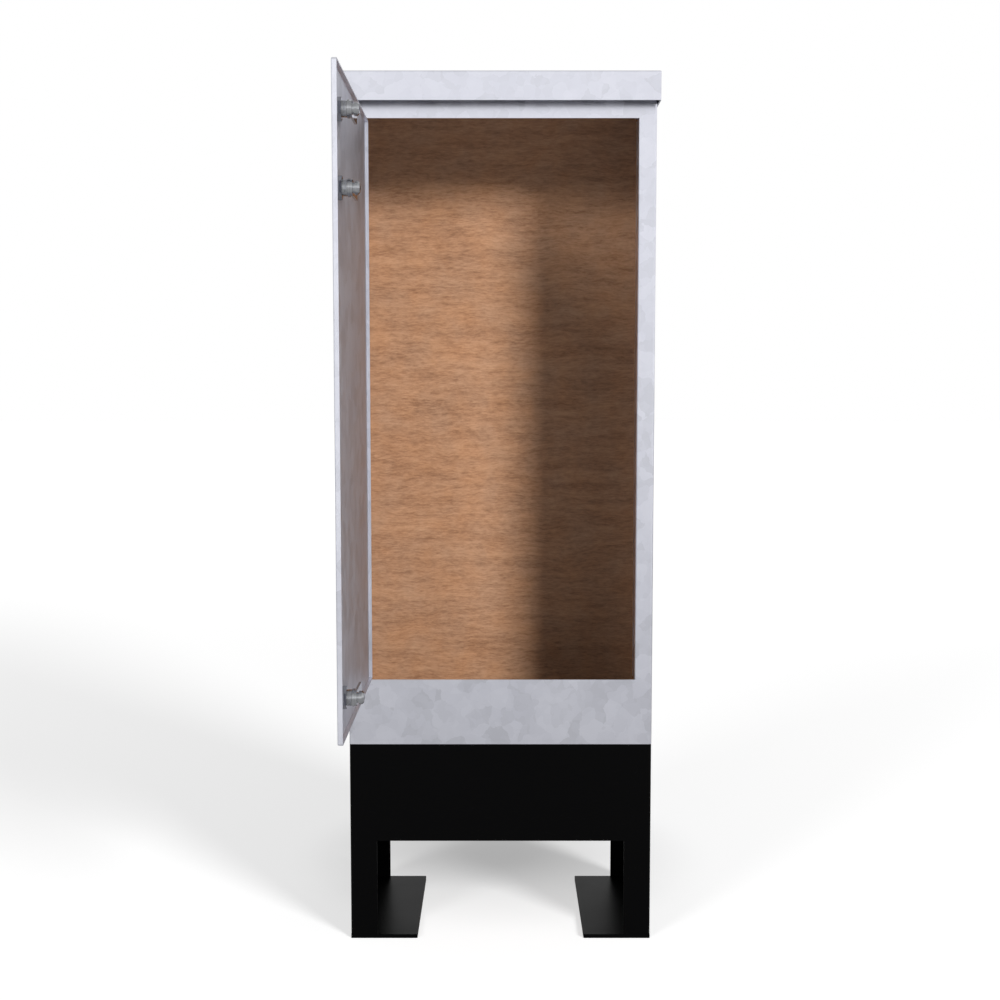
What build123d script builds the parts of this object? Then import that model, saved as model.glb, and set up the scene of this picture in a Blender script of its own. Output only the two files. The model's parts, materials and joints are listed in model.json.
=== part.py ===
from build123d import *
from math import atan, cos, hypot, sqrt
import os

# Feeder pillar: a galvanised steel cabinet with one door, bolted to a black root that is set in the ground.
# Millimetres. X to the right, Y to the back, Z up. The origin is on the ground, in the middle of the root.
# The door is modelled open at a right angle, with its cams turned to the hinge side.

# Whole pillar
body_width = 450
body_depth = 250
root_height = 297.5
sill_height = 97.5
opening_height = 817.5
head_height = 20.5
stile_width = 26.5

# Sheet metal
sheet = 2
bend = 1
tight_fold = 1.5
overrun = 5
touch_gap = 0.3

# Root and feet
root_sheet = 3
root_corner = 5
leg_width = 40
leg_height = 150
foot_length = 100
foot_thickness = 6
foot_corner = 2

# Angles that join the cabinet to the root
angle_leg = 30
angle_thickness = 3
angle_end_gap = 4

# Root bolts
bolt_radius = 5
bolt_hole_gap = 0.5
bolt_gauge = 18
bolt_spacing = 140
bolt_flats = 17
bolt_head_height = 6.4
bolt_nut_height = 8
bolt_tail = 3
bolt_washer_radius = 10
bolt_washer_thickness = 2
thread_gap = 0.05

# Frame of the door opening
return_depth = 33
slot_gap = 0.6

# Roof canopy
canopy_height = 41
canopy_overhang = 25
canopy_fall = 12
canopy_gap = 1

# Canopy studs
stud_radius = 3
stud_length = 16
stud_spacing = 110
stud_rise = 15
stud_washer_radius = 7
stud_washer_thickness = 1.5
stud_flats = 10
stud_nut_height = 5

# Back panel and backboard
back_flange = 20
board_thickness = 18
board_side_gap = 5
board_floor_gap = 18
board_top_gap = 3
rail_depth = 10
rail_end_gap = 23
rail_flange = 14
rail_face = 34
cleat_inset = 15
cleat_tab = 12
cleat_gap = 1.5

# Backboard screws
screw_radius = 3
screw_gap = 0.2
screw_end = 20
screw_head_radius = 6
screw_flats = 10
countersink = 45
screw_nut_height = 5

# Door
door_depth = 6.5
door_side_gap = 5
door_top_gap = 5.5
door_bottom_gap = 4

# Hinges
knuckle_radius = 4
pin_radius = 2
pin_gap = 0.05
leaf_thickness = 2
leaf_margin = 3.2
hinge_offset = 1.3
hinge_height = 80
hinge_inset = 110
pin_head_radius = 3.2
pin_head_height = 1.5

# Locks
lock_edge = 42
lock_top_inset = 51
lock_pitch = 92
lock_bottom_inset = 50
lock_flange_radius = 14
lock_flange_height = 3
lock_flange_chamfer = 1
barrel_radius = 9.75
barrel_length = 14
barrel_hole_gap = 0.2
lock_nut_flats = 25
lock_nut_height = 5.5
spindle_head_radius = 6.9
spindle_head_length = 7
spindle_radius = 5
spindle_square = 7
square_gap = 0.1
key_pocket_radius = 5.4
key_radius = 4.4
key_depth = 5
stop_washer_radius = 11
stop_washer_thickness = 2.7
cam_thickness = 3
cam_width = 17
cam_length = 54
cam_hub_radius = 10
cam_tip_radius = 3
cam_screw_radius = 2.5
cam_screw_length = 8
cam_screw_face_radius = 6.5
cam_screw_face_height = 2.5
cam_screw_head_radius = 8.25
cam_screw_head_height = 6
cam_screw_bevel = 2.5
cam_screw_socket_flats = 6
cam_screw_socket_depth = 3

# Earth stud
earth_radius = 4
earth_length = 28
earth_rise = 55
earth_setback = 65
earth_flats = 13
earth_nut_height = 6.5
earth_washer_radius = 8
earth_washer_thickness = 1.6

# Places that follow from the sizes
side = body_width / 2
front = -body_depth / 2
back = body_depth / 2
fold = bend + sheet
opening_width = body_width - 2 * stile_width
opening_side = opening_width / 2
sill_top = root_height + sill_height
head_bottom = sill_top + opening_height
canopy_bottom = head_bottom + head_height
canopy_top = canopy_bottom + canopy_height

# The roof falls evenly from the front edge to the back edge
canopy_front = front - canopy_overhang
canopy_back = back + canopy_gap + sheet
canopy_side = side + canopy_gap + sheet
roof_slope = canopy_fall / (canopy_back - canopy_front)
roof_drop = sheet / cos(atan(roof_slope))
roof_back_top = canopy_top - canopy_fall
body_top = roof_back_top - roof_drop - touch_gap

# Backboard between the back panel's rails and the front
rail_back = back - sheet - sheet / 2
board_back = back - sheet - rail_depth
board_front = board_back - board_thickness
board_side = side - sheet - board_side_gap
board_bottom = root_height + board_floor_gap
board_top = body_top - board_top_gap
board_middle = (board_bottom + board_top) / 2
rail_length = 2 * (side - sheet - rail_end_gap)
screw_height = board_bottom + rail_face / 2
screw_x = rail_length / 2 - screw_end
screw_places = [(-screw_x, screw_height), (0, screw_height), (screw_x, screw_height)]

# Hinge axis in front of the stile, door plane when it stands open
hinge_x = -opening_side - hinge_offset
hinge_y = front - knuckle_radius - touch_gap
door_skin = hinge_x + knuckle_radius + touch_gap
door_near = hinge_y - hinge_offset - door_side_gap
door_width = opening_width - 2 * door_side_gap
door_free = door_near - door_width
door_bottom = sill_top + door_bottom_gap
door_top = head_bottom - door_top_gap
hinge_heights = {"upper": door_top - hinge_inset, "lower": door_bottom + hinge_inset}

# Lock axes, and where a lock's inner pieces lie behind the door's outer face
lock_y = door_free + lock_edge
lock_heights = {
    "top": door_top - lock_top_inset,
    "middle": door_top - lock_top_inset - lock_pitch,
    "bottom": door_bottom + lock_bottom_inset,
}
stop_washer_start = barrel_length + touch_gap
cam_start = stop_washer_start + stop_washer_thickness
cam_end = cam_start + cam_thickness

# A turning cam enters its slot in the right return, so the slot reaches up to where the tip meets the sheet
lock_reach = opening_side - (hinge_x + hinge_y - lock_y)
slot_up = sqrt(hypot(cam_length, cam_width / 2) ** 2 - lock_reach**2) + slot_gap
slot_down = cam_width / 2 + slot_gap

os.makedirs("parts", exist_ok=True)


def save(part, name):
    part.label = name
    export_step(part, f"parts/{name}.step")


# Root: one folded sheet, open between its legs at the front and the back
with BuildPart() as root_shell:
    with BuildSketch(Plane.XY.offset(foot_thickness)):
        RectangleRounded(body_width, body_depth, root_corner)
        RectangleRounded(
            body_width - 2 * root_sheet,
            body_depth - 2 * root_sheet,
            root_corner - root_sheet,
            mode=Mode.SUBTRACT,
        )
    extrude(amount=root_height - foot_thickness)
    with BuildSketch(Plane.XZ):
        Rectangle(body_width - 2 * leg_width, 2 * leg_height)
    extrude(amount=back + overrun, both=True, mode=Mode.SUBTRACT)
save(root_shell.part, "root_shell")

foot_middle = side - foot_length / 2
for hand, sign in (("left", -1), ("right", 1)):
    with BuildPart() as foot_plate:
        with BuildSketch():
            with Locations((sign * foot_middle, 0)):
                RectangleRounded(foot_length, body_depth, foot_corner)
        extrude(amount=foot_thickness)
    save(foot_plate.part, f"{hand}_foot_plate")

# Angles: one pair inside the cabinet's foot, one pair inside the root's head, back to back
bolt_x = side - sheet - bolt_gauge
angle_back = back - sheet - back_flange - angle_end_gap
angle_front = front + root_sheet + angle_end_gap
for hand, sign in (("left", -1), ("right", 1)):
    for name, wall, way in (("base_angle", sheet, 1), ("root_angle", root_sheet, -1)):
        heel = sign * (side - wall)
        leg_face = heel - sign * angle_thickness
        leg_end = heel - sign * angle_leg
        with BuildPart() as angle:
            with BuildSketch(Plane.XZ.offset(-angle_back)) as section:
                with BuildLine():
                    Polyline(
                        (heel, root_height),
                        (heel, root_height + way * angle_leg),
                        (leg_face, root_height + way * angle_leg),
                        (leg_face, root_height + way * angle_thickness),
                        (leg_end, root_height + way * angle_thickness),
                        (leg_end, root_height),
                        close=True,
                    )
                make_face()
                inner_corner = (leg_face, root_height + way * angle_thickness)
                fillet(section.vertices().sort_by_distance(inner_corner)[0], angle_thickness)
            extrude(amount=angle_back - angle_front)
            with BuildSketch(Plane.XY.offset(root_height)):
                with GridLocations(2 * bolt_x, bolt_spacing, 2, 2):
                    Circle(bolt_radius + bolt_hole_gap)
            extrude(amount=angle_leg, both=True, mode=Mode.SUBTRACT)
        save(angle.part, f"{name}_{hand}")

# Bolts, washers and nuts through both pairs of angles
upper_seat = root_height + angle_thickness
lower_seat = root_height - angle_thickness
bolt_grip = 2 * angle_thickness + 2 * bolt_washer_thickness
with BuildPart() as root_bolts:
    with BuildSketch(Plane.XY.offset(upper_seat + bolt_washer_thickness)):
        with GridLocations(2 * bolt_x, bolt_spacing, 2, 2):
            RegularPolygon(bolt_flats / 2, 6, major_radius=False)
    extrude(amount=bolt_head_height)
    with BuildSketch(Plane.XY.offset(upper_seat + bolt_washer_thickness)):
        with GridLocations(2 * bolt_x, bolt_spacing, 2, 2):
            Circle(bolt_radius)
    extrude(amount=-(bolt_grip + bolt_nut_height + bolt_tail))
save(root_bolts.part, "root_bolts")

with BuildPart() as root_washers:
    for level in (upper_seat, lower_seat - bolt_washer_thickness):
        with BuildSketch(Plane.XY.offset(level)):
            with GridLocations(2 * bolt_x, bolt_spacing, 2, 2):
                Circle(bolt_washer_radius)
                Circle(bolt_radius + bolt_hole_gap, mode=Mode.SUBTRACT)
        extrude(amount=bolt_washer_thickness)
save(root_washers.part, "root_washers")

with BuildPart() as root_nuts:
    with BuildSketch(Plane.XY.offset(lower_seat - bolt_washer_thickness)):
        with GridLocations(2 * bolt_x, bolt_spacing, 2, 2):
            RegularPolygon(bolt_flats / 2, 6, major_radius=False)
            Circle(bolt_radius + thread_gap, mode=Mode.SUBTRACT)
    extrude(amount=-bolt_nut_height)
save(root_nuts.part, "root_nuts")

# Cabinet: front and sides folded from one sheet, the opening's edges folded in as returns
stud_height = canopy_bottom + stud_rise
slot_y = front + (cam_start + cam_end) / 2
with BuildPart() as body_wrap:
    with BuildSketch(Plane.XY.offset(root_height)) as outline:
        Rectangle(body_width, body_depth)
        fillet(outline.vertices().group_by(Axis.Y)[0], fold)
    extrude(amount=body_top - root_height)
    with BuildSketch(Plane.XY.offset(root_height)) as hollow:
        with Locations((0, (sheet + overrun) / 2)):
            Rectangle(body_width - 2 * sheet, body_depth - sheet + overrun)
        fillet(hollow.vertices().group_by(Axis.Y)[0], bend)
    extrude(amount=body_top - root_height, mode=Mode.SUBTRACT)
    with BuildSketch(Plane.XZ.offset(-front)):
        with Locations((0, (sill_top + head_bottom) / 2)):
            Rectangle(opening_width + 2 * fold, opening_height)
    extrude(amount=fold, both=True, mode=Mode.SUBTRACT)
    for sign in (-1, 1):
        return_middle = sign * (opening_side + sheet / 2)
        with BuildSketch(Plane.XY.offset(sill_top)):
            with BuildLine():
                FilletPolyline(
                    (return_middle, front + return_depth),
                    (return_middle, front + sheet / 2),
                    (sign * (opening_side + fold + sheet), front + sheet / 2),
                    radius=bend + sheet / 2,
                )
            trace(line_width=sheet)
        extrude(amount=opening_height)
    with BuildSketch(Plane.YZ.offset(opening_side)):
        for lock_z in lock_heights.values():
            with Locations((slot_y, lock_z + (slot_up - slot_down) / 2)):
                SlotOverall(slot_up + slot_down, cam_thickness + 2 * slot_gap, rotation=90)
    extrude(amount=fold, both=True, mode=Mode.SUBTRACT)
    with BuildSketch(Plane.YZ.offset(-side - overrun)):
        with Locations((-stud_spacing / 2, stud_height), (stud_spacing / 2, stud_height)):
            Circle(stud_radius + screw_gap)
    extrude(amount=body_width + 2 * overrun, mode=Mode.SUBTRACT)
save(body_wrap.part, "body_wrap")

# Back panel: a flat sheet with its two edges folded forward inside the cabinet's sides
flange_middle = side - sheet - sheet / 2
with BuildPart() as back_panel:
    with BuildSketch(Plane.XY.offset(root_height)):
        with BuildLine():
            FilletPolyline(
                (-flange_middle, back - back_flange),
                (-flange_middle, back - sheet / 2),
                (flange_middle, back - sheet / 2),
                (flange_middle, back - back_flange),
                radius=bend + sheet / 2,
            )
        trace(line_width=sheet)
    extrude(amount=body_top - root_height)
save(back_panel.part, "back_panel")

# Roof canopy: a folded cap, an open hood where it stands out at the front, with studs on its side skirts
with BuildPart() as roof_canopy:
    with BuildSketch(Plane.YZ):
        with BuildLine():
            Polyline(
                (canopy_front, canopy_bottom),
                (canopy_front, canopy_top),
                (canopy_back, roof_back_top),
                (canopy_back, canopy_bottom),
                close=True,
            )
        make_face()
    extrude(amount=canopy_side, both=True)
    roof_edges = roof_canopy.faces().sort_by(Axis.Z)[-1].edges()
    fillet(roof_edges + roof_canopy.edges().filter_by(Axis.Z), tight_fold)
    with BuildSketch(Plane.YZ):
        with BuildLine():
            Polyline(
                (canopy_front + sheet, canopy_bottom),
                (canopy_front + sheet, canopy_top - roof_drop - roof_slope * sheet),
                (canopy_back - sheet, roof_back_top - roof_drop + roof_slope * sheet),
                (canopy_back - sheet, canopy_bottom),
                close=True,
            )
        make_face()
    extrude(amount=canopy_side - sheet, both=True, mode=Mode.SUBTRACT)
    for sign in (-1, 1):
        with BuildSketch(Plane.YZ.offset(sign * (canopy_side - sheet))):
            with Locations((-stud_spacing / 2, stud_height), (stud_spacing / 2, stud_height)):
                Circle(stud_radius)
        extrude(amount=-sign * stud_length)
save(roof_canopy.part, "roof_canopy")

with BuildPart() as roof_washers:
    for sign in (-1, 1):
        with BuildSketch(Plane.YZ.offset(sign * (side - sheet))):
            with Locations((-stud_spacing / 2, stud_height), (stud_spacing / 2, stud_height)):
                Circle(stud_washer_radius)
                Circle(stud_radius + screw_gap, mode=Mode.SUBTRACT)
        extrude(amount=-sign * stud_washer_thickness)
save(roof_washers.part, "roof_washers")

with BuildPart() as roof_nuts:
    for sign in (-1, 1):
        with BuildSketch(Plane.YZ.offset(sign * (side - sheet - stud_washer_thickness))):
            with Locations((-stud_spacing / 2, stud_height), (stud_spacing / 2, stud_height)):
                RegularPolygon(stud_flats / 2, 6, major_radius=False)
                Circle(stud_radius + thread_gap, mode=Mode.SUBTRACT)
        extrude(amount=-sign * stud_nut_height)
save(roof_nuts.part, "roof_nuts")

# Plywood backboard: hung on a cleat rail behind its top, and screwed to a hat rail at its foot
with BuildPart() as backboard:
    with BuildSketch(Plane.XZ.offset(-board_back)):
        with Locations((0, board_middle)):
            Rectangle(2 * board_side, board_top - board_bottom)
        with Locations(screw_places):
            Circle(screw_radius + screw_gap, mode=Mode.SUBTRACT)
    extrude(amount=board_thickness)
    with BuildSketch(Plane.XZ.offset(-board_front)):
        with Locations(screw_places):
            Circle(screw_head_radius + screw_gap)
    extrude(amount=-(screw_head_radius - screw_radius), taper=countersink, mode=Mode.SUBTRACT)
save(backboard.part, "backboard")

# Cleats: one on the back panel with its tab up, one on the board with its hook over that tab
face_middle = board_back + sheet / 2
hook_y = back - sheet - cleat_gap - sheet / 2
tab_y = hook_y - sheet - touch_gap
hook_top = board_top - cleat_inset - rail_flange
hook_start = hook_top - (hook_y - face_middle)
tab_top = hook_start - sheet
tab_start = tab_top - cleat_tab
tab_end = tab_start - (rail_back - tab_y)
with BuildPart() as board_rail_top:
    with BuildSketch(Plane.YZ.offset(-rail_length / 2)):
        with BuildLine():
            FilletPolyline(
                (rail_back, tab_end - rail_flange),
                (rail_back, tab_end),
                (tab_y, tab_start),
                (tab_y, tab_top),
                radius=bend + sheet / 2,
            )
        trace(line_width=sheet)
    extrude(amount=rail_length)
save(board_rail_top.part, "board_rail_top")

with BuildPart() as board_cleat:
    with BuildSketch(Plane.YZ.offset(-rail_length / 2)):
        with BuildLine():
            FilletPolyline(
                (face_middle, hook_top + rail_flange),
                (face_middle, hook_top),
                (hook_y, hook_start),
                (hook_y, hook_start - cleat_tab),
                radius=bend + sheet / 2,
            )
        trace(line_width=sheet)
    extrude(amount=rail_length)
save(board_cleat.part, "board_cleat")

hat_foot = screw_height - rail_face / 2
hat_head = screw_height + rail_face / 2
with BuildPart() as board_rail_bottom:
    with BuildSketch(Plane.YZ.offset(-rail_length / 2)):
        with BuildLine():
            FilletPolyline(
                (rail_back, hat_foot - rail_flange),
                (rail_back, hat_foot),
                (face_middle, hat_foot),
                (face_middle, hat_head),
                (rail_back, hat_head),
                (rail_back, hat_head + rail_flange),
                radius=bend + sheet / 2,
            )
        trace(line_width=sheet)
    extrude(amount=rail_length)
    with BuildSketch(Plane.XZ.offset(-board_back)):
        with Locations(screw_places):
            Circle(screw_radius + screw_gap)
    extrude(amount=fold, both=True, mode=Mode.SUBTRACT)
save(board_rail_bottom.part, "board_rail_bottom")

with BuildPart() as board_screws:
    with BuildSketch(Plane.XZ.offset(-(board_front + screw_gap))):
        with Locations(screw_places):
            Circle(screw_head_radius)
    extrude(amount=-(screw_head_radius - screw_radius), taper=countersink)
    with BuildSketch(Plane.XZ.offset(-(board_front + screw_gap))):
        with Locations(screw_places):
            Circle(screw_radius)
    extrude(amount=-(board_thickness + sheet + screw_nut_height))
save(board_screws.part, "board_screws")

with BuildPart() as board_nuts:
    with BuildSketch(Plane.XZ.offset(-(board_back + sheet))):
        with Locations(screw_places):
            RegularPolygon(screw_flats / 2, 6, major_radius=False)
            Circle(screw_radius + thread_gap, mode=Mode.SUBTRACT)
    extrude(amount=-screw_nut_height)
save(board_nuts.part, "board_nuts")

# Earth stud on the inside of the left wall, with a clamping pair of nuts
earth_height = root_height + earth_rise
earth_y = front + earth_setback
earth_wall = -side + sheet
first_washer = earth_wall + earth_nut_height
second_nut = first_washer + earth_washer_thickness
with BuildPart() as earth_stud:
    with BuildSketch(Plane.YZ.offset(earth_wall)):
        with Locations((earth_y, earth_height)):
            Circle(earth_radius)
    extrude(amount=earth_length)
save(earth_stud.part, "earth_stud")

with BuildPart() as earth_nuts:
    for seat in (earth_wall, second_nut):
        with BuildSketch(Plane.YZ.offset(seat)):
            with Locations((earth_y, earth_height)):
                RegularPolygon(earth_flats / 2, 6, major_radius=False)
                Circle(earth_radius + thread_gap, mode=Mode.SUBTRACT)
        extrude(amount=earth_nut_height)
save(earth_nuts.part, "earth_nuts")

with BuildPart() as earth_washer:
    with BuildSketch(Plane.YZ.offset(first_washer)):
        with Locations((earth_y, earth_height)):
            Circle(earth_washer_radius)
            Circle(earth_radius + screw_gap, mode=Mode.SUBTRACT)
    extrude(amount=earth_washer_thickness)
save(earth_washer.part, "earth_washer")

# Door: one shallow tray with tight folds and closed corners, standing open at a right angle to the front
door_height = door_top - door_bottom
door_middle = ((door_near + door_free) / 2, (door_bottom + door_top) / 2)
with BuildPart() as door_panel:
    with BuildSketch(Plane.YZ.offset(door_skin)):
        with Locations(door_middle):
            RectangleRounded(door_width, door_height, fold)
    extrude(amount=door_depth)
    fillet(door_panel.faces().sort_by(Axis.X)[0].edges(), tight_fold)
    with BuildSketch(Plane.YZ.offset(door_skin + sheet)):
        with Locations(door_middle):
            RectangleRounded(door_width - 2 * sheet, door_height - 2 * sheet, bend)
    extrude(amount=door_depth, mode=Mode.SUBTRACT)
    with BuildSketch(Plane.YZ.offset(door_skin)):
        for lock_z in lock_heights.values():
            with Locations((lock_y, lock_z)):
                Circle(barrel_radius + barrel_hole_gap)
    extrude(amount=door_depth, both=True, mode=Mode.SUBTRACT)
save(door_panel.part, "door_panel")

# Hinges: a leaf on the stile with two end knuckles, a leaf on the door with the middle one, and a pin
leaf_width = stile_width - hinge_offset - leaf_margin
leaf_seat = hinge_offset + door_side_gap
axis_height = knuckle_radius + touch_gap
knuckle_length = hinge_height / 3
end_cut = (hinge_height - knuckle_length) / 2
middle_cuts = {0: knuckle_length / 2 + touch_gap}
end_cuts = {-hinge_height / 2: end_cut, hinge_height / 2: end_cut}
stile_plane = Plane(origin=(hinge_x, front, 0), x_dir=(-1, 0, 0), z_dir=(0, 0, 1))
skin_plane = Plane(origin=(door_skin, hinge_y, 0), x_dir=(0, -1, 0), z_dir=(0, 0, -1))
for level, hinge_z in hinge_heights.items():
    for name, face, rise, cuts in (
        ("frame", stile_plane, hinge_z, middle_cuts),
        ("door", skin_plane, -hinge_z, end_cuts),
    ):
        with BuildPart() as hinge_leaf:
            with BuildSketch(face.offset(rise)):
                with BuildLine():
                    Polyline(
                        (0, touch_gap),
                        (leaf_seat, touch_gap),
                        (leaf_seat, 0),
                        (leaf_width, 0),
                        (leaf_width, leaf_thickness),
                        (0, leaf_thickness),
                        close=True,
                    )
                make_face()
                with Locations((0, axis_height)):
                    Circle(knuckle_radius)
                    Circle(pin_radius + pin_gap, mode=Mode.SUBTRACT)
            extrude(amount=hinge_height / 2, both=True)
            for cut_middle, cut_reach in cuts.items():
                with BuildSketch(face.offset(rise + cut_middle)):
                    with Locations((0, axis_height)):
                        Rectangle(2 * axis_height, 2 * axis_height)
                extrude(amount=cut_reach, both=True, mode=Mode.SUBTRACT)
        save(hinge_leaf.part, f"hinge_leaf_{name}_{level}")
    with BuildPart() as hinge_pin:
        with BuildSketch(Plane.XY.offset(hinge_z)):
            with Locations((hinge_x, hinge_y)):
                Circle(pin_radius)
        extrude(amount=hinge_height / 2, both=True)
        for end in (-1, 1):
            with BuildSketch(Plane.XY.offset(hinge_z + end * hinge_height / 2)):
                with Locations((hinge_x, hinge_y)):
                    Circle(pin_head_radius)
            extrude(amount=end * pin_head_height)
    save(hinge_pin.part, f"hinge_pin_{level}")

# Locks: housing clamped in the door by its nut; spindle, stop washer, cam and screw turn together
for place, lock_z in lock_heights.items():
    with BuildPart() as lock_housing:
        with BuildSketch(Plane.YZ.offset(door_skin)):
            with Locations((lock_y, lock_z)):
                Circle(lock_flange_radius)
        extrude(amount=-lock_flange_height)
        chamfer(lock_housing.edges().group_by(Axis.X)[0], lock_flange_chamfer)
        with BuildSketch(Plane.YZ.offset(door_skin)):
            with Locations((lock_y, lock_z)):
                Circle(barrel_radius)
        extrude(amount=barrel_length)
        with BuildSketch(Plane.YZ.offset(door_skin)):
            with Locations((lock_y, lock_z)):
                Circle(spindle_radius + pin_gap)
        extrude(amount=barrel_length + overrun, both=True, mode=Mode.SUBTRACT)
        with BuildSketch(Plane.YZ.offset(door_skin - lock_flange_height)):
            with Locations((lock_y, lock_z)):
                Circle(spindle_head_radius + pin_gap)
        extrude(amount=spindle_head_length, mode=Mode.SUBTRACT)
    save(lock_housing.part, f"lock_housing_{place}")

    with BuildPart() as lock_nut:
        with BuildSketch(Plane.YZ.offset(door_skin + sheet)):
            with Locations((lock_y, lock_z)):
                RegularPolygon(lock_nut_flats / 2, 6, major_radius=False, rotation=90)
                Circle(barrel_radius + thread_gap, mode=Mode.SUBTRACT)
        extrude(amount=lock_nut_height)
    save(lock_nut.part, f"lock_nut_{place}")

    with BuildPart() as lock_spindle:
        with BuildSketch(Plane.YZ.offset(door_skin - lock_flange_height)):
            with Locations((lock_y, lock_z)):
                Circle(spindle_head_radius)
        extrude(amount=spindle_head_length)
        with BuildSketch(Plane.YZ.offset(door_skin)):
            with Locations((lock_y, lock_z)):
                Circle(spindle_radius)
        extrude(amount=stop_washer_start)
        with BuildSketch(Plane.YZ.offset(door_skin)):
            with Locations((lock_y, lock_z)):
                Rectangle(spindle_square, spindle_square)
        extrude(amount=cam_end - square_gap)
        with BuildSketch(Plane.YZ.offset(door_skin - lock_flange_height)):
            with Locations((lock_y, lock_z)):
                Circle(key_pocket_radius)
                RegularPolygon(key_radius, 3, rotation=90, mode=Mode.SUBTRACT)
        extrude(amount=key_depth, mode=Mode.SUBTRACT)
        with BuildSketch(Plane.YZ.offset(door_skin + cam_end)):
            with Locations((lock_y, lock_z)):
                Circle(cam_screw_radius + thread_gap)
        extrude(amount=-(cam_screw_length + square_gap), mode=Mode.SUBTRACT)
    save(lock_spindle.part, f"lock_spindle_{place}")

    with BuildPart() as stop_washer:
        with BuildSketch(Plane.YZ.offset(door_skin + stop_washer_start)):
            with Locations((lock_y, lock_z)):
                Circle(stop_washer_radius)
                Rectangle(
                    spindle_square + 2 * square_gap,
                    spindle_square + 2 * square_gap,
                    mode=Mode.SUBTRACT,
                )
        extrude(amount=stop_washer_thickness)
    save(stop_washer.part, f"stop_washer_{place}")

    with BuildPart() as lock_cam:
        with BuildSketch(Plane.YZ.offset(door_skin + cam_start)) as cam_outline:
            with Locations((lock_y + cam_length / 2, lock_z)):
                Rectangle(cam_length, cam_width)
            fillet(cam_outline.vertices().group_by(Axis.X)[-1], cam_tip_radius)
            with Locations((lock_y, lock_z)):
                Circle(cam_hub_radius)
                Rectangle(
                    spindle_square + 2 * square_gap,
                    spindle_square + 2 * square_gap,
                    mode=Mode.SUBTRACT,
                )
        extrude(amount=cam_thickness)
    save(lock_cam.part, f"lock_cam_{place}")

    with BuildPart() as cam_screw:
        with BuildSketch(Plane.YZ.offset(door_skin + cam_end + cam_screw_face_height)):
            with Locations((lock_y, lock_z)):
                Circle(cam_screw_head_radius)
        extrude(amount=cam_screw_head_height)
        chamfer(cam_screw.edges().group_by(Axis.X)[-1], cam_screw_bevel)
        with BuildSketch(Plane.YZ.offset(door_skin + cam_end)):
            with Locations((lock_y, lock_z)):
                Circle(cam_screw_face_radius)
        extrude(amount=cam_screw_face_height)
        with BuildSketch(Plane.YZ.offset(door_skin + cam_end)):
            with Locations((lock_y, lock_z)):
                Circle(cam_screw_radius)
        extrude(amount=-cam_screw_length)
        head_face = door_skin + cam_end + cam_screw_face_height + cam_screw_head_height
        with BuildSketch(Plane.YZ.offset(head_face)):
            with Locations((lock_y, lock_z)):
                RegularPolygon(cam_screw_socket_flats / 2, 6, major_radius=False)
        extrude(amount=-cam_screw_socket_depth, mode=Mode.SUBTRACT)
    save(cam_screw.part, f"cam_screw_{place}")
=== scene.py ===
import json
import math

import bpy
import numpy as np
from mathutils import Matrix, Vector


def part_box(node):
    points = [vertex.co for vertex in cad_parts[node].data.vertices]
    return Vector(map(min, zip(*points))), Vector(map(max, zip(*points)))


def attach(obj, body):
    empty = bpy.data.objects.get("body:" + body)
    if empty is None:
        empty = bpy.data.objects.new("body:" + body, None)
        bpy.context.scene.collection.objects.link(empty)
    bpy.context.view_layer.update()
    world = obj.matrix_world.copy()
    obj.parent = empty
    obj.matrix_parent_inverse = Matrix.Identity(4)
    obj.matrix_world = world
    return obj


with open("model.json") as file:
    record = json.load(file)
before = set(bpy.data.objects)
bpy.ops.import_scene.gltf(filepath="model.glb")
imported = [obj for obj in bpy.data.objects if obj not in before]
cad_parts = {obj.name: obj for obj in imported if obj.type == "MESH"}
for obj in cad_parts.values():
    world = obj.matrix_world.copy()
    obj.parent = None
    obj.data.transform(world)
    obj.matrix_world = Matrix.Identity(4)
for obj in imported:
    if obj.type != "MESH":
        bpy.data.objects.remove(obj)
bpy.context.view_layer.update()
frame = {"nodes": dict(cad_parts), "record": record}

nodes = frame["nodes"]
scene = bpy.context.scene
scene.view_settings.view_transform = "Standard"
print("frame loaded:", len(nodes), "nodes")


# camera: a 50 mm lens in front of the pillar, at chest height, looking slightly down
cameraSet = {"place": (-0.0007, -2.1568, 0.830), "pitch": 0.0823, "lens": 50.0, "sensor": 36.0}
cameraData = bpy.data.cameras.new("studioCamera")
cameraData.lens = cameraSet["lens"]
cameraData.sensor_width = cameraSet["sensor"]
cameraData.clip_end = 60.0
camera = bpy.data.objects.new("studioCamera", cameraData)
camera.location = cameraSet["place"]
camera.rotation_euler = (math.pi / 2 - cameraSet["pitch"], 0.0, 0.0)
scene.collection.objects.link(camera)
scene.camera = camera
print("camera placed")


# one node of a material: plain values go on its sockets, sockets of other nodes are linked
def addNode(tree, kind, inputs=None, **settings):
    node = tree.nodes.new(kind)
    for key, value in settings.items():
        setattr(node, key, value)
    for key, value in (inputs or {}).items():
        if isinstance(value, bpy.types.NodeSocket):
            tree.links.new(value, node.inputs[key])
        else:
            node.inputs[key].default_value = value
    return node


def newFinish(name, **sockets):
    finish = bpy.data.materials.new(name)
    finish.use_nodes = True
    tree = finish.node_tree
    shader = tree.nodes["Principled BSDF"]
    for key, value in sockets.items():
        shader.inputs[key].default_value = value
    place = addNode(tree, "ShaderNodeTexCoord").outputs["Object"]
    return finish, tree, shader, place


# colours picked along a ramp by a factor socket
def rampOf(tree, factor, stops, smooth="LINEAR"):
    node = addNode(tree, "ShaderNodeValToRGB", {"Fac": factor})
    ramp = node.color_ramp
    ramp.interpolation = smooth
    while len(ramp.elements) < len(stops):
        ramp.elements.new(0.5)
    for element, (position, colour) in zip(ramp.elements, stops):
        element.position = position
        element.color = (*colour, 1.0)
    return node.outputs["Color"]


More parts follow.
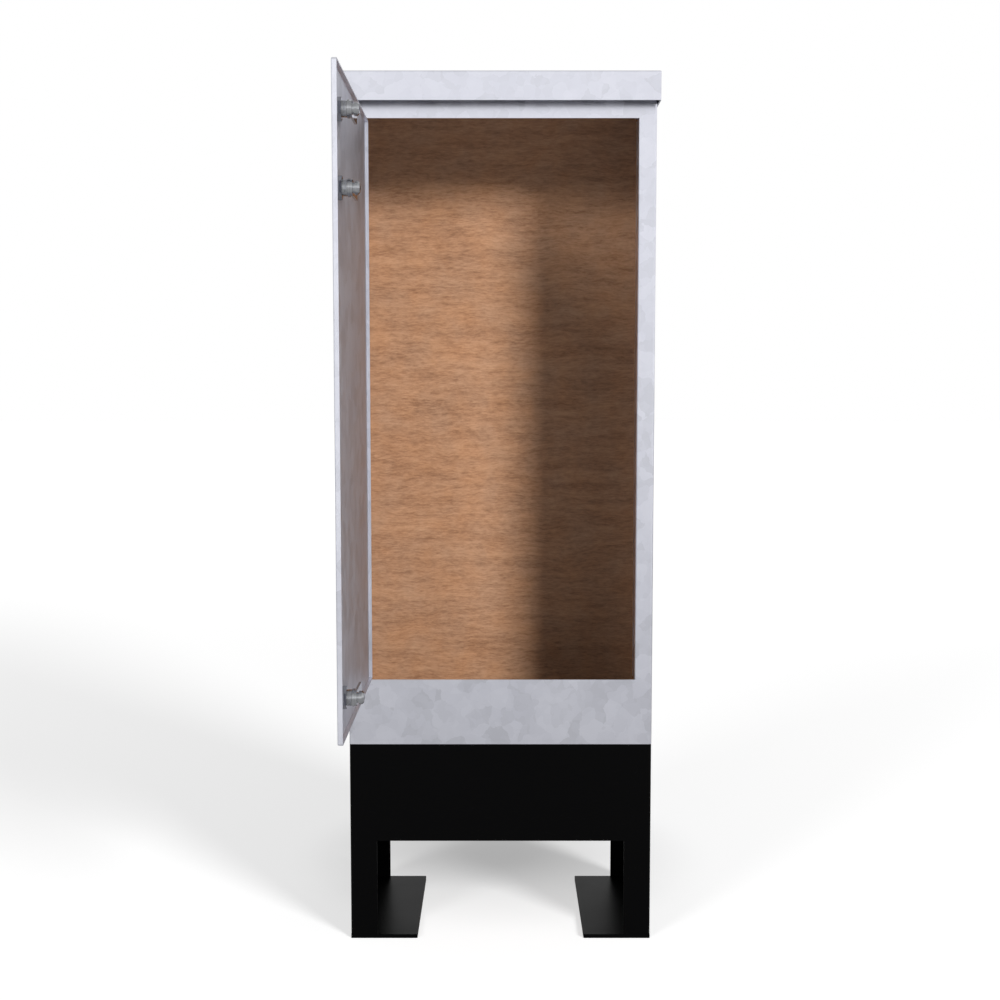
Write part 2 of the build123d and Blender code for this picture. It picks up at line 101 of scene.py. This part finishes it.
# a number moved from the range 0..1 to low..high
def spread(tree, value, low, high):
    return addNode(
        tree, "ShaderNodeMapRange", {"Value": value, "To Min": low, "To Max": high}
    ).outputs["Result"]


def bumpOf(tree, height, strength, distance):
    return addNode(
        tree, "ShaderNodeBump", {"Height": height, "Strength": strength, "Distance": distance}
    ).outputs["Normal"]


def mixColour(tree, factor, first, second, blend="MIX"):
    node = addNode(tree, "ShaderNodeMix", data_type="RGBA", blend_type=blend)
    for socket, value in ((node.inputs[0], factor), (node.inputs[6], first), (node.inputs[7], second)):
        if isinstance(value, bpy.types.NodeSocket):
            tree.links.new(value, socket)
        else:
            socket.default_value = value
    return node.outputs[2]


# galvanised sheet: pale grey zinc crystals, jagged patches that each have a tone of their own, small ones over
# large ones, with a soft cloud over them; the door's broad faces are rougher than its folded edges, and their
# colour is darkened as painted shade
zincSheet = {
    "tones": [(0.1, (0.685, 0.695, 0.76)), (0.5, (0.755, 0.765, 0.84)), (0.9, (0.80, 0.81, 0.885))],
    "largeCrystal": 42.0,
    "smallCrystal": 80.0,
    "smallShare": 0.28,
    "jag": 0.014,
    "jagScale": 80.0,
    "rough": (0.28, 0.36),
    "doorFace": {"rough": (0.52, 0.62), "paintedFaceShade": (0.83, 0.83, 0.83, 1.0), "edgeMetal": 0.82},
    "cloud": [(0.3, (0.94, 0.94, 0.95)), (0.7, (1.0, 1.0, 1.0))],
    "cloudScale": 7.0,
    "fineScale": 420.0,
    "fineBump": (0.12, 0.0004),
}


def galvanisedFinish(name, broadFace=None):
    finish, tree, shader, place = newFinish(name, Metallic=1.0)
    wander = addNode(
        tree, "ShaderNodeTexNoise", {"Vector": place, "Scale": zincSheet["jagScale"], "Detail": 4.0}
    ).outputs["Color"]
    centred = addNode(
        tree, "ShaderNodeVectorMath", {0: wander, 1: (0.5, 0.5, 0.5)}, operation="SUBTRACT"
    ).outputs[0]
    shift = addNode(
        tree, "ShaderNodeVectorMath", {0: centred, "Scale": zincSheet["jag"]}, operation="SCALE"
    ).outputs[0]
    jagged = addNode(tree, "ShaderNodeVectorMath", {0: place, 1: shift}, operation="ADD").outputs[0]

    def crystals(scale):
        cells = addNode(tree, "ShaderNodeTexVoronoi", {"Vector": jagged, "Scale": scale}).outputs["Color"]
        return addNode(tree, "ShaderNodeSeparateColor", {"Color": cells}).outputs[0]

    tone = addNode(
        tree,
        "ShaderNodeMix",
        {
            "Factor": zincSheet["smallShare"],
            "A": crystals(zincSheet["largeCrystal"]),
            "B": crystals(zincSheet["smallCrystal"]),
        },
    ).outputs[0]
    patches = rampOf(tree, tone, zincSheet["tones"])
    cloud = addNode(
        tree, "ShaderNodeTexNoise", {"Vector": place, "Scale": zincSheet["cloudScale"], "Detail": 4.0}
    ).outputs["Fac"]
    veil = rampOf(tree, cloud, zincSheet["cloud"])
    colour = mixColour(tree, 1.0, patches, veil, "MULTIPLY")
    rough = spread(tree, tone, *zincSheet["rough"])
    if broadFace:
        facing = addNode(tree, "ShaderNodeTexCoord").outputs["Normal"]
        facing = addNode(tree, "ShaderNodeSeparateXYZ", {"Vector": facing}).outputs["X"]
        facing = addNode(tree, "ShaderNodeMath", {0: facing}, operation="ABSOLUTE").outputs[0]
        # painted shade: the colour of the door's broad faces is darkened
        colour = mixColour(tree, facing, colour, broadFace["paintedFaceShade"], "MULTIPLY")
        matt = spread(tree, tone, *broadFace["rough"])
        rough = addNode(tree, "ShaderNodeMix", {"Factor": facing, "A": rough, "B": matt}).outputs[0]
        tree.links.new(spread(tree, facing, broadFace["edgeMetal"], 1.0), shader.inputs["Metallic"])
    tree.links.new(colour, shader.inputs["Base Color"])
    tree.links.new(rough, shader.inputs["Roughness"])
    fine = addNode(
        tree, "ShaderNodeTexNoise", {"Vector": place, "Scale": zincSheet["fineScale"], "Detail": 2.0}
    ).outputs["Fac"]
    tree.links.new(bumpOf(tree, fine, *zincSheet["fineBump"]), shader.inputs["Normal"])
    return finish


# satin black paint on the root: a faint skin of orange peel and slightly uneven gloss
rootPaint = {
    "colour": (0.0006, 0.0006, 0.0007, 1.0),
    "shine": 0.06,
    "rough": (0.30, 0.42),
    "patchScale": 9.0,
    "peelScale": 260.0,
    "peelBump": (0.1, 0.0005),
}


def blackPaintFinish():
    finish, tree, shader, place = newFinish(
        "blackRootPaint", **{"Base Color": rootPaint["colour"], "Specular IOR Level": rootPaint["shine"]}
    )
    patchy = addNode(
        tree, "ShaderNodeTexNoise", {"Vector": place, "Scale": rootPaint["patchScale"], "Detail": 5.0}
    ).outputs["Fac"]
    tree.links.new(spread(tree, patchy, *rootPaint["rough"]), shader.inputs["Roughness"])
    peel = addNode(
        tree, "ShaderNodeTexNoise", {"Vector": place, "Scale": rootPaint["peelScale"], "Detail": 2.0}
    ).outputs["Fac"]
    tree.links.new(bumpOf(tree, peel, *rootPaint["peelBump"]), shader.inputs["Normal"])
    return finish


# plywood: rotary-cut face with level wandering grain, fine fibres and small dark flecks; plies on its edges;
# each grain has its scale along the board, its scale across and its share, the finest one last
plywood = {
    "face": [
        (0.10, (0.290, 0.147, 0.083)),
        (0.40, (0.400, 0.212, 0.121)),
        (0.60, (0.458, 0.248, 0.143)),
        (0.90, (0.530, 0.298, 0.175)),
    ],
    "grains": [(8.0, 58.0, 0.26), (24.0, 150.0, 0.32), (110.0, 430.0, 0.42)],
    "contrast": (-1.15, 2.15),
    "sway": (13.0, 0.015),
    "blotchScale": 24.0,
    "blotches": [(0.32, (1.0, 0.965, 0.90)), (0.68, (0.96, 1.0, 1.03))],
    "fleckGrain": (60.0, 480.0),
    "flecks": [(0.27, (0.86, 0.83, 0.81)), (0.36, (1.0, 1.0, 1.0))],
    "plies": [(0.0, (0.42, 0.25, 0.14)), (0.5, (0.27, 0.145, 0.075))],
    "plyThickness": 0.003,
    "rough": (0.52, 0.68),
    "shine": 0.25,
    "fibreBump": (0.15, 0.0006),
}


def plywoodFinish():
    finish, tree, shader, place = newFinish("plywoodBoard", **{"Specular IOR Level": plywood["shine"]})
    swayScale, swayReach = plywood["sway"]
    sway = addNode(
        tree, "ShaderNodeTexNoise", {"Vector": place, "Scale": swayScale, "Detail": 4.0}
    ).outputs["Fac"]
    sway = addNode(tree, "ShaderNodeMath", {0: sway, 1: swayReach}, operation="MULTIPLY").outputs[0]
    swayed = addNode(tree, "ShaderNodeCombineXYZ", {"Z": sway}).outputs[0]
    wandering = addNode(tree, "ShaderNodeVectorMath", {0: place, 1: swayed}, operation="ADD").outputs[0]

    def grain(scaleAlong, scaleAcross, detail, vector):
        stretched = addNode(
            tree, "ShaderNodeMapping", {"Vector": vector, "Scale": (scaleAlong, 6.0, scaleAcross)}
        ).outputs[0]
        return addNode(
            tree, "ShaderNodeTexNoise", {"Vector": stretched, "Scale": 1.0, "Detail": detail, "Roughness": 0.6}
        ).outputs["Fac"]

    mixed = 0.0
    for scaleAlong, scaleAcross, share in plywood["grains"]:
        fibres = grain(scaleAlong, scaleAcross, 5.0, wandering)
        mixed = addNode(
            tree, "ShaderNodeMath", {0: fibres, 1: share, 2: mixed}, operation="MULTIPLY_ADD"
        ).outputs[0]
    face = rampOf(tree, spread(tree, mixed, *plywood["contrast"]), plywood["face"])
    blotch = addNode(
        tree, "ShaderNodeTexNoise", {"Vector": wandering, "Scale": plywood["blotchScale"], "Detail": 5.0}
    ).outputs["Fac"]
    face = mixColour(tree, 1.0, face, rampOf(tree, blotch, plywood["blotches"]), "MULTIPLY")
    flecks = grain(*plywood["fleckGrain"], 2.0, place)
    face = mixColour(tree, 1.0, face, rampOf(tree, flecks, plywood["flecks"]), "MULTIPLY")
    depth = addNode(tree, "ShaderNodeSeparateXYZ", {"Vector": place}).outputs["Y"]
    twoPlies = 2 * plywood["plyThickness"]
    layer = addNode(tree, "ShaderNodeMath", {0: depth, 1: twoPlies}, operation="FLOORED_MODULO").outputs[0]
    layer = addNode(tree, "ShaderNodeMath", {0: layer, 1: twoPlies}, operation="DIVIDE").outputs[0]
    plies = rampOf(tree, layer, plywood["plies"], "CONSTANT")
    facing = addNode(
        tree, "ShaderNodeSeparateXYZ", {"Vector": addNode(tree, "ShaderNodeTexCoord").outputs["Normal"]}
    ).outputs["Y"]
    isFace = addNode(tree, "ShaderNodeMath", {0: facing}, operation="ABSOLUTE").outputs[0]
    tree.links.new(mixColour(tree, isFace, plies, face), shader.inputs["Base Color"])
    tree.links.new(spread(tree, fibres, *plywood["rough"]), shader.inputs["Roughness"])
    tree.links.new(bumpOf(tree, fibres, *plywood["fibreBump"]), shader.inputs["Normal"])
    return finish


# turned and plated metals: bright lock pieces, dull zinc on bolts and hinges, brass on the earth stud
platedMetals = {
    "brightLockPlating": {"colour": (0.43, 0.44, 0.46), "rough": (0.06, 0.14), "scratch": 300.0},
    "zincPlating": {"colour": (0.60, 0.60, 0.59), "rough": (0.30, 0.44), "scratch": 160.0},
    "plainBrass": {"colour": (0.66, 0.47, 0.18), "rough": (0.22, 0.36), "scratch": 160.0},
}
platedWear = {"dark": 0.86, "bump": (0.05, 0.0003)}


def platedFinish(name):
    look = platedMetals[name]
    finish, tree, shader, place = newFinish(name, Metallic=1.0)
    wear = addNode(
        tree, "ShaderNodeTexNoise", {"Vector": place, "Scale": look["scratch"], "Detail": 5.0}
    ).outputs["Fac"]
    dark = tuple(platedWear["dark"] * c for c in look["colour"])
    tree.links.new(
        rampOf(tree, wear, [(0.3, dark), (0.65, look["colour"])]), shader.inputs["Base Color"]
    )
    tree.links.new(spread(tree, wear, *look["rough"]), shader.inputs["Roughness"])
    tree.links.new(bumpOf(tree, wear, *platedWear["bump"]), shader.inputs["Normal"])
    return finish


finishes = {
    "galvanised": galvanisedFinish("galvanisedSheet"),
    "black_root": blackPaintFinish(),
    "plywood": plywoodFinish(),
    "bright_lock": platedFinish("brightLockPlating"),
    "plated_steel": platedFinish("zincPlating"),
    "brass": platedFinish("plainBrass"),
}
doorFinish = galvanisedFinish("galvanisedDoorSheet", zincSheet["doorFace"])
for part in frame["record"]["subparts"]:
    piece, slot = nodes[part["node"]], part["material_slot"]
    piece.data.materials.clear()
    piece.data.materials.append(doorFinish if part["node"] == "door_panel" else finishes[slot])
print("finishes set:", len(finishes) + 1)


# screw threads where a threaded end stands clear of its nut
screwThread = {"around": 72, "rowsPerPitch": 8, "sink": 0.0004, "endGap": 0.0001}
threadSizes = {
    "lockBarrel": {"radius": 0.00975, "pitch": 0.0015, "height": 0.0003},
    "earthStud": {"radius": 0.004, "pitch": 0.00125, "height": 0.00025},
    "rootBolt": {"radius": 0.005, "pitch": 0.0015, "height": 0.0003},
}


# a ring on a grid of distance along the axis and angle around it: the radius is the shank's plus a triangle
# wave of distance / pitch - angle / full turn, which fades out at both ends; two sunk rows close it inside
def makeThread(name, size, axis, centre, start, end, body, slot):
    start, end = start + screwThread["endGap"], end - screwThread["endGap"]
    rows = int((end - start) / size["pitch"] * screwThread["rowsPerPitch"]) + 2
    along = np.linspace(start, end, rows)[:, None]
    turn = np.linspace(0.0, 2.0 * np.pi, screwThread["around"], endpoint=False)[None, :]
    wave = 1.0 - np.abs(2.0 * ((along / size["pitch"] - turn / (2.0 * np.pi)) % 1.0) - 1.0)
    fade = np.clip(np.minimum(along - start, end - along) / (0.5 * size["pitch"]), 0.0, 1.0)
    radius = size["radius"] + size["height"] * wave * fade
    sunk = np.full((2, screwThread["around"]), size["radius"] - screwThread["sink"])
    radius = np.vstack([radius, sunk])
    along = np.vstack([along, [[end]], [[start]]]) + 0.0 * radius
    across = [centre[0] + radius * np.cos(turn), centre[1] + radius * np.sin(turn)]
    points = np.stack([along, *across] if axis == "X" else [*across, along], axis=-1).reshape(-1, 3)
    row, column = np.meshgrid(np.arange(radius.shape[0]), np.arange(radius.shape[1]), indexing="ij")
    nextRow, nextColumn = (row + 1) % radius.shape[0], (column + 1) % radius.shape[1]
    wide = radius.shape[1]
    faces = np.stack(
        [row * wide + column, row * wide + nextColumn, nextRow * wide + nextColumn, nextRow * wide + column],
        axis=-1,
    ).reshape(-1, 4)
    mesh = bpy.data.meshes.new(name)
    mesh.from_pydata(points.tolist(), [], faces.tolist())
    mesh.polygons.foreach_set("use_smooth", np.ones(len(faces), dtype=bool))
    mesh.materials.append(finishes[slot])
    thread = bpy.data.objects.new(name, mesh)
    scene.collection.objects.link(thread)
    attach(thread, body)


def middleOf(box, first, second):
    low, high = box
    return (low[first] + high[first]) / 2, (low[second] + high[second]) / 2


for place in ("top", "middle", "bottom"):
    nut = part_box("lock_nut_" + place)
    makeThread(
        "lockThread_" + place,
        threadSizes["lockBarrel"],
        "X",
        middleOf(nut, 1, 2),
        nut[1][0],
        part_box("lock_housing_" + place)[1][0],
        "door",
        "bright_lock",
    )
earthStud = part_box("earth_stud")
makeThread(
    "earthThread",
    threadSizes["earthStud"],
    "X",
    middleOf(earthStud, 1, 2),
    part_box("earth_nuts")[1][0],
    earthStud[1][0],
    "cabinet",
    "brass",
)

# the bolt group is even about the middle: the bolt at the right back gives the places of all four
boltBox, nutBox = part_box("root_bolts"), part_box("root_nuts")
boltMesh = nodes["root_bolts"].data
boltPoints = np.empty(3 * len(boltMesh.vertices))
boltMesh.vertices.foreach_get("co", boltPoints)
boltPoints = boltPoints.reshape(-1, 3)
corner = boltPoints[(boltPoints[:, 0] > 0) & (boltPoints[:, 1] > 0)]
boltX, boltY = (corner.min(axis=0) + corner.max(axis=0))[:2] / 2
for hand, boltSide in (("left", -1), ("right", 1)):
    for end, boltEnd in (("front", -1), ("back", 1)):
        makeThread(
            "boltThread_" + hand + "_" + end,
            threadSizes["rootBolt"],
            "Z",
            (boltSide * boltX, boltEnd * boltY),
            boltBox[0][2],
            nutBox[0][2],
            "cabinet",
            "plated_steel",
        )
print("threads cut")


# white floor: it gives its own glow to the camera and to reflections, dimmer near the middle as painted shade
# under and behind the pillar, and lamp light on top shows shadows
studioFloor = {
    "half": 30.0,
    "middle": (0.0, 0.26, 0.0),
    "reach": 8.0,
    # the glow is low near the middle as painted shade under and behind the pillar, and rises further off
    "glowWithPaintedShade": [(0.05, 0.33), (0.36, 0.60), (2.0, 0.67), (7.0, 0.90)],  # distance from the middle, strength
    "mirror": 0.11,
    "paint": (0.55, 0.55, 0.55, 1.0),
    "bounce": (0.5, 0.5, 0.5, 1.0),
}


def makeFloor():
    half = studioFloor["half"]
    corners = np.array([[-half, -half, 0.0], [half, -half, 0.0], [half, half, 0.0], [-half, half, 0.0]])
    mesh = bpy.data.meshes.new("studioFloor")
    mesh.from_pydata(corners.tolist(), [], [(0, 1, 2, 3)])
    floor = bpy.data.objects.new("studioFloor", mesh)
    scene.collection.objects.link(floor)
    finish = bpy.data.materials.new("studioFloorPaint")
    finish.use_nodes = True
    tree = finish.node_tree
    tree.nodes.clear()
    place = addNode(tree, "ShaderNodeTexCoord").outputs["Object"]
    distance = addNode(
        tree, "ShaderNodeVectorMath", {0: place, 1: studioFloor["middle"]}, operation="DISTANCE"
    ).outputs["Value"]
    reach = studioFloor["reach"]
    share = addNode(tree, "ShaderNodeMath", {0: distance, 1: reach}, operation="DIVIDE").outputs[0]
    # painted shade: the floor glows less close to the middle
    glowWithPaintedShade = rampOf(tree, share, [(away / reach, (grey, grey, grey)) for away, grey in studioFloor["glowWithPaintedShade"]])
    seen = seenDirectly(tree, studioFloor["mirror"])
    glowWithPaintedShade = addNode(tree, "ShaderNodeMath", {0: glowWithPaintedShade, 1: seen}, operation="MULTIPLY").outputs[0]
    glow = addNode(tree, "ShaderNodeEmission", {"Strength": glowWithPaintedShade}).outputs[0]
    path = addNode(tree, "ShaderNodeLightPath").outputs
    paint = mixColour(tree, path["Is Camera Ray"], studioFloor["bounce"], studioFloor["paint"])
    matt = addNode(tree, "ShaderNodeBsdfDiffuse", {"Color": paint}).outputs[0]
    both = addNode(tree, "ShaderNodeAddShader", {0: glow, 1: matt}).outputs[0]
    addNode(tree, "ShaderNodeOutputMaterial", {"Surface": both})
    mesh.materials.append(finish)


# 1 for rays from the camera and through glass, a share for mirrored rays, 0 for light that matt surfaces gather
def seenDirectly(tree, mirrorShare=1.0):
    path = addNode(tree, "ShaderNodeLightPath").outputs
    gathered = addNode(
        tree, "ShaderNodeMath", {0: path["Diffuse Depth"], 1: 1.0}, operation="MINIMUM"
    ).outputs[0]
    mirrored = addNode(
        tree, "ShaderNodeMath", {0: path["Is Glossy Ray"], 1: gathered}, operation="SUBTRACT", use_clamp=True
    ).outputs[0]
    mirrored = addNode(tree, "ShaderNodeMath", {0: mirrored, 1: mirrorShare}, operation="MULTIPLY").outputs[0]
    pair = addNode(
        tree, "ShaderNodeMath", {0: path["Is Camera Ray"], 1: mirrored}, operation="MAXIMUM"
    ).outputs[0]
    return addNode(
        tree, "ShaderNodeMath", {0: pair, 1: path["Is Transmission Ray"]}, operation="MAXIMUM"
    ).outputs[0]


# the room: white to look at, a low even light otherwise; what metal mirrors of the side behind the camera is a
# wall that goes from grey near the floor to pale above, of the other side the white backdrop, and over both
# a dim ceiling
studioRoom = {
    "ambient": 0.22,
    "wallLow": (-0.38, 0.53),
    "wallHigh": (-0.13, 1.14),
    "backdropEdge": (-0.2, 0.3),
    "ceilingStart": 0.2,
    "ceilingEnd": (0.75, 0.5),
}


def makeRoom():
    world = bpy.data.worlds.new("studioRoom")
    scene.world = world
    world.use_nodes = True
    tree = world.node_tree
    tree.nodes.clear()
    look = addNode(tree, "ShaderNodeTexCoord").outputs["Generated"]
    look = addNode(tree, "ShaderNodeSeparateXYZ", {"Vector": look}).outputs
    (low, lowGrey), (high, highGrey) = studioRoom["wallLow"], studioRoom["wallHigh"]
    wall = addNode(
        tree,
        "ShaderNodeMapRange",
        {"Value": look["Z"], "From Min": low, "From Max": high, "To Min": lowGrey, "To Max": highGrey},
    ).outputs["Result"]
    wallEnd, backdropStart = studioRoom["backdropEdge"]
    around = addNode(
        tree,
        "ShaderNodeMapRange",
        {"Value": look["Y"], "From Min": wallEnd, "From Max": backdropStart, "To Min": wall},
    ).outputs["Result"]
    ceiling, ceilingGrey = studioRoom["ceilingEnd"]
    fade = addNode(
        tree,
        "ShaderNodeMapRange",
        {
            "Value": look["Z"],
            "From Min": studioRoom["ceilingStart"],
            "From Max": ceiling,
            "To Min": 1.0,
            "To Max": ceilingGrey,
        },
    ).outputs["Result"]
    mirrored = addNode(tree, "ShaderNodeMath", {0: around, 1: fade}, operation="MULTIPLY").outputs[0]
    path = addNode(tree, "ShaderNodeLightPath").outputs
    shown = addNode(
        tree, "ShaderNodeMath", {0: mirrored, 1: path["Is Camera Ray"]}, operation="MAXIMUM"
    ).outputs[0]
    strength = addNode(
        tree,
        "ShaderNodeMapRange",
        {"Value": seenDirectly(tree), "To Min": studioRoom["ambient"], "To Max": shown},
    ).outputs["Result"]
    shade = addNode(
        tree, "ShaderNodeBackground", {"Color": (1.0, 1.0, 1.0, 1.0), "Strength": strength}
    ).outputs[0]
    addNode(tree, "ShaderNodeOutputWorld", {"Surface": shade})


# soft lamps, aimed at the middle of the front: azimuth to the right of straight on, height in degrees
studioLamps = {
    "keyLamp": {"azimuth": 38.5, "height": 19.5, "away": 12.0, "size": 3.2, "power": 1640.0},
    "leftLamp": {"azimuth": -36.5, "height": 21.0, "away": 12.0, "size": 3.2, "power": 518.0},
}
lampAim = Vector((0.0, -0.05, 0.82))


def makeLamps():
    for name, lamp in studioLamps.items():
        data = bpy.data.lights.new(name, "AREA")
        data.shape = "DISK"
        data.size = lamp["size"]
        data.energy = lamp["power"]
        azimuth, height = math.radians(lamp["azimuth"]), math.radians(lamp["height"])
        away = Vector(
            (math.sin(azimuth) * math.cos(height), -math.cos(azimuth) * math.cos(height), math.sin(height))
        )
        light = bpy.data.objects.new(name, data)
        light.visible_glossy = False
        light.location = lampAim + away * lamp["away"]
        light.rotation_euler = away.to_track_quat("Z", "Y").to_euler()
        scene.collection.objects.link(light)


makeFloor()
makeRoom()
makeLamps()
print("studio lit")
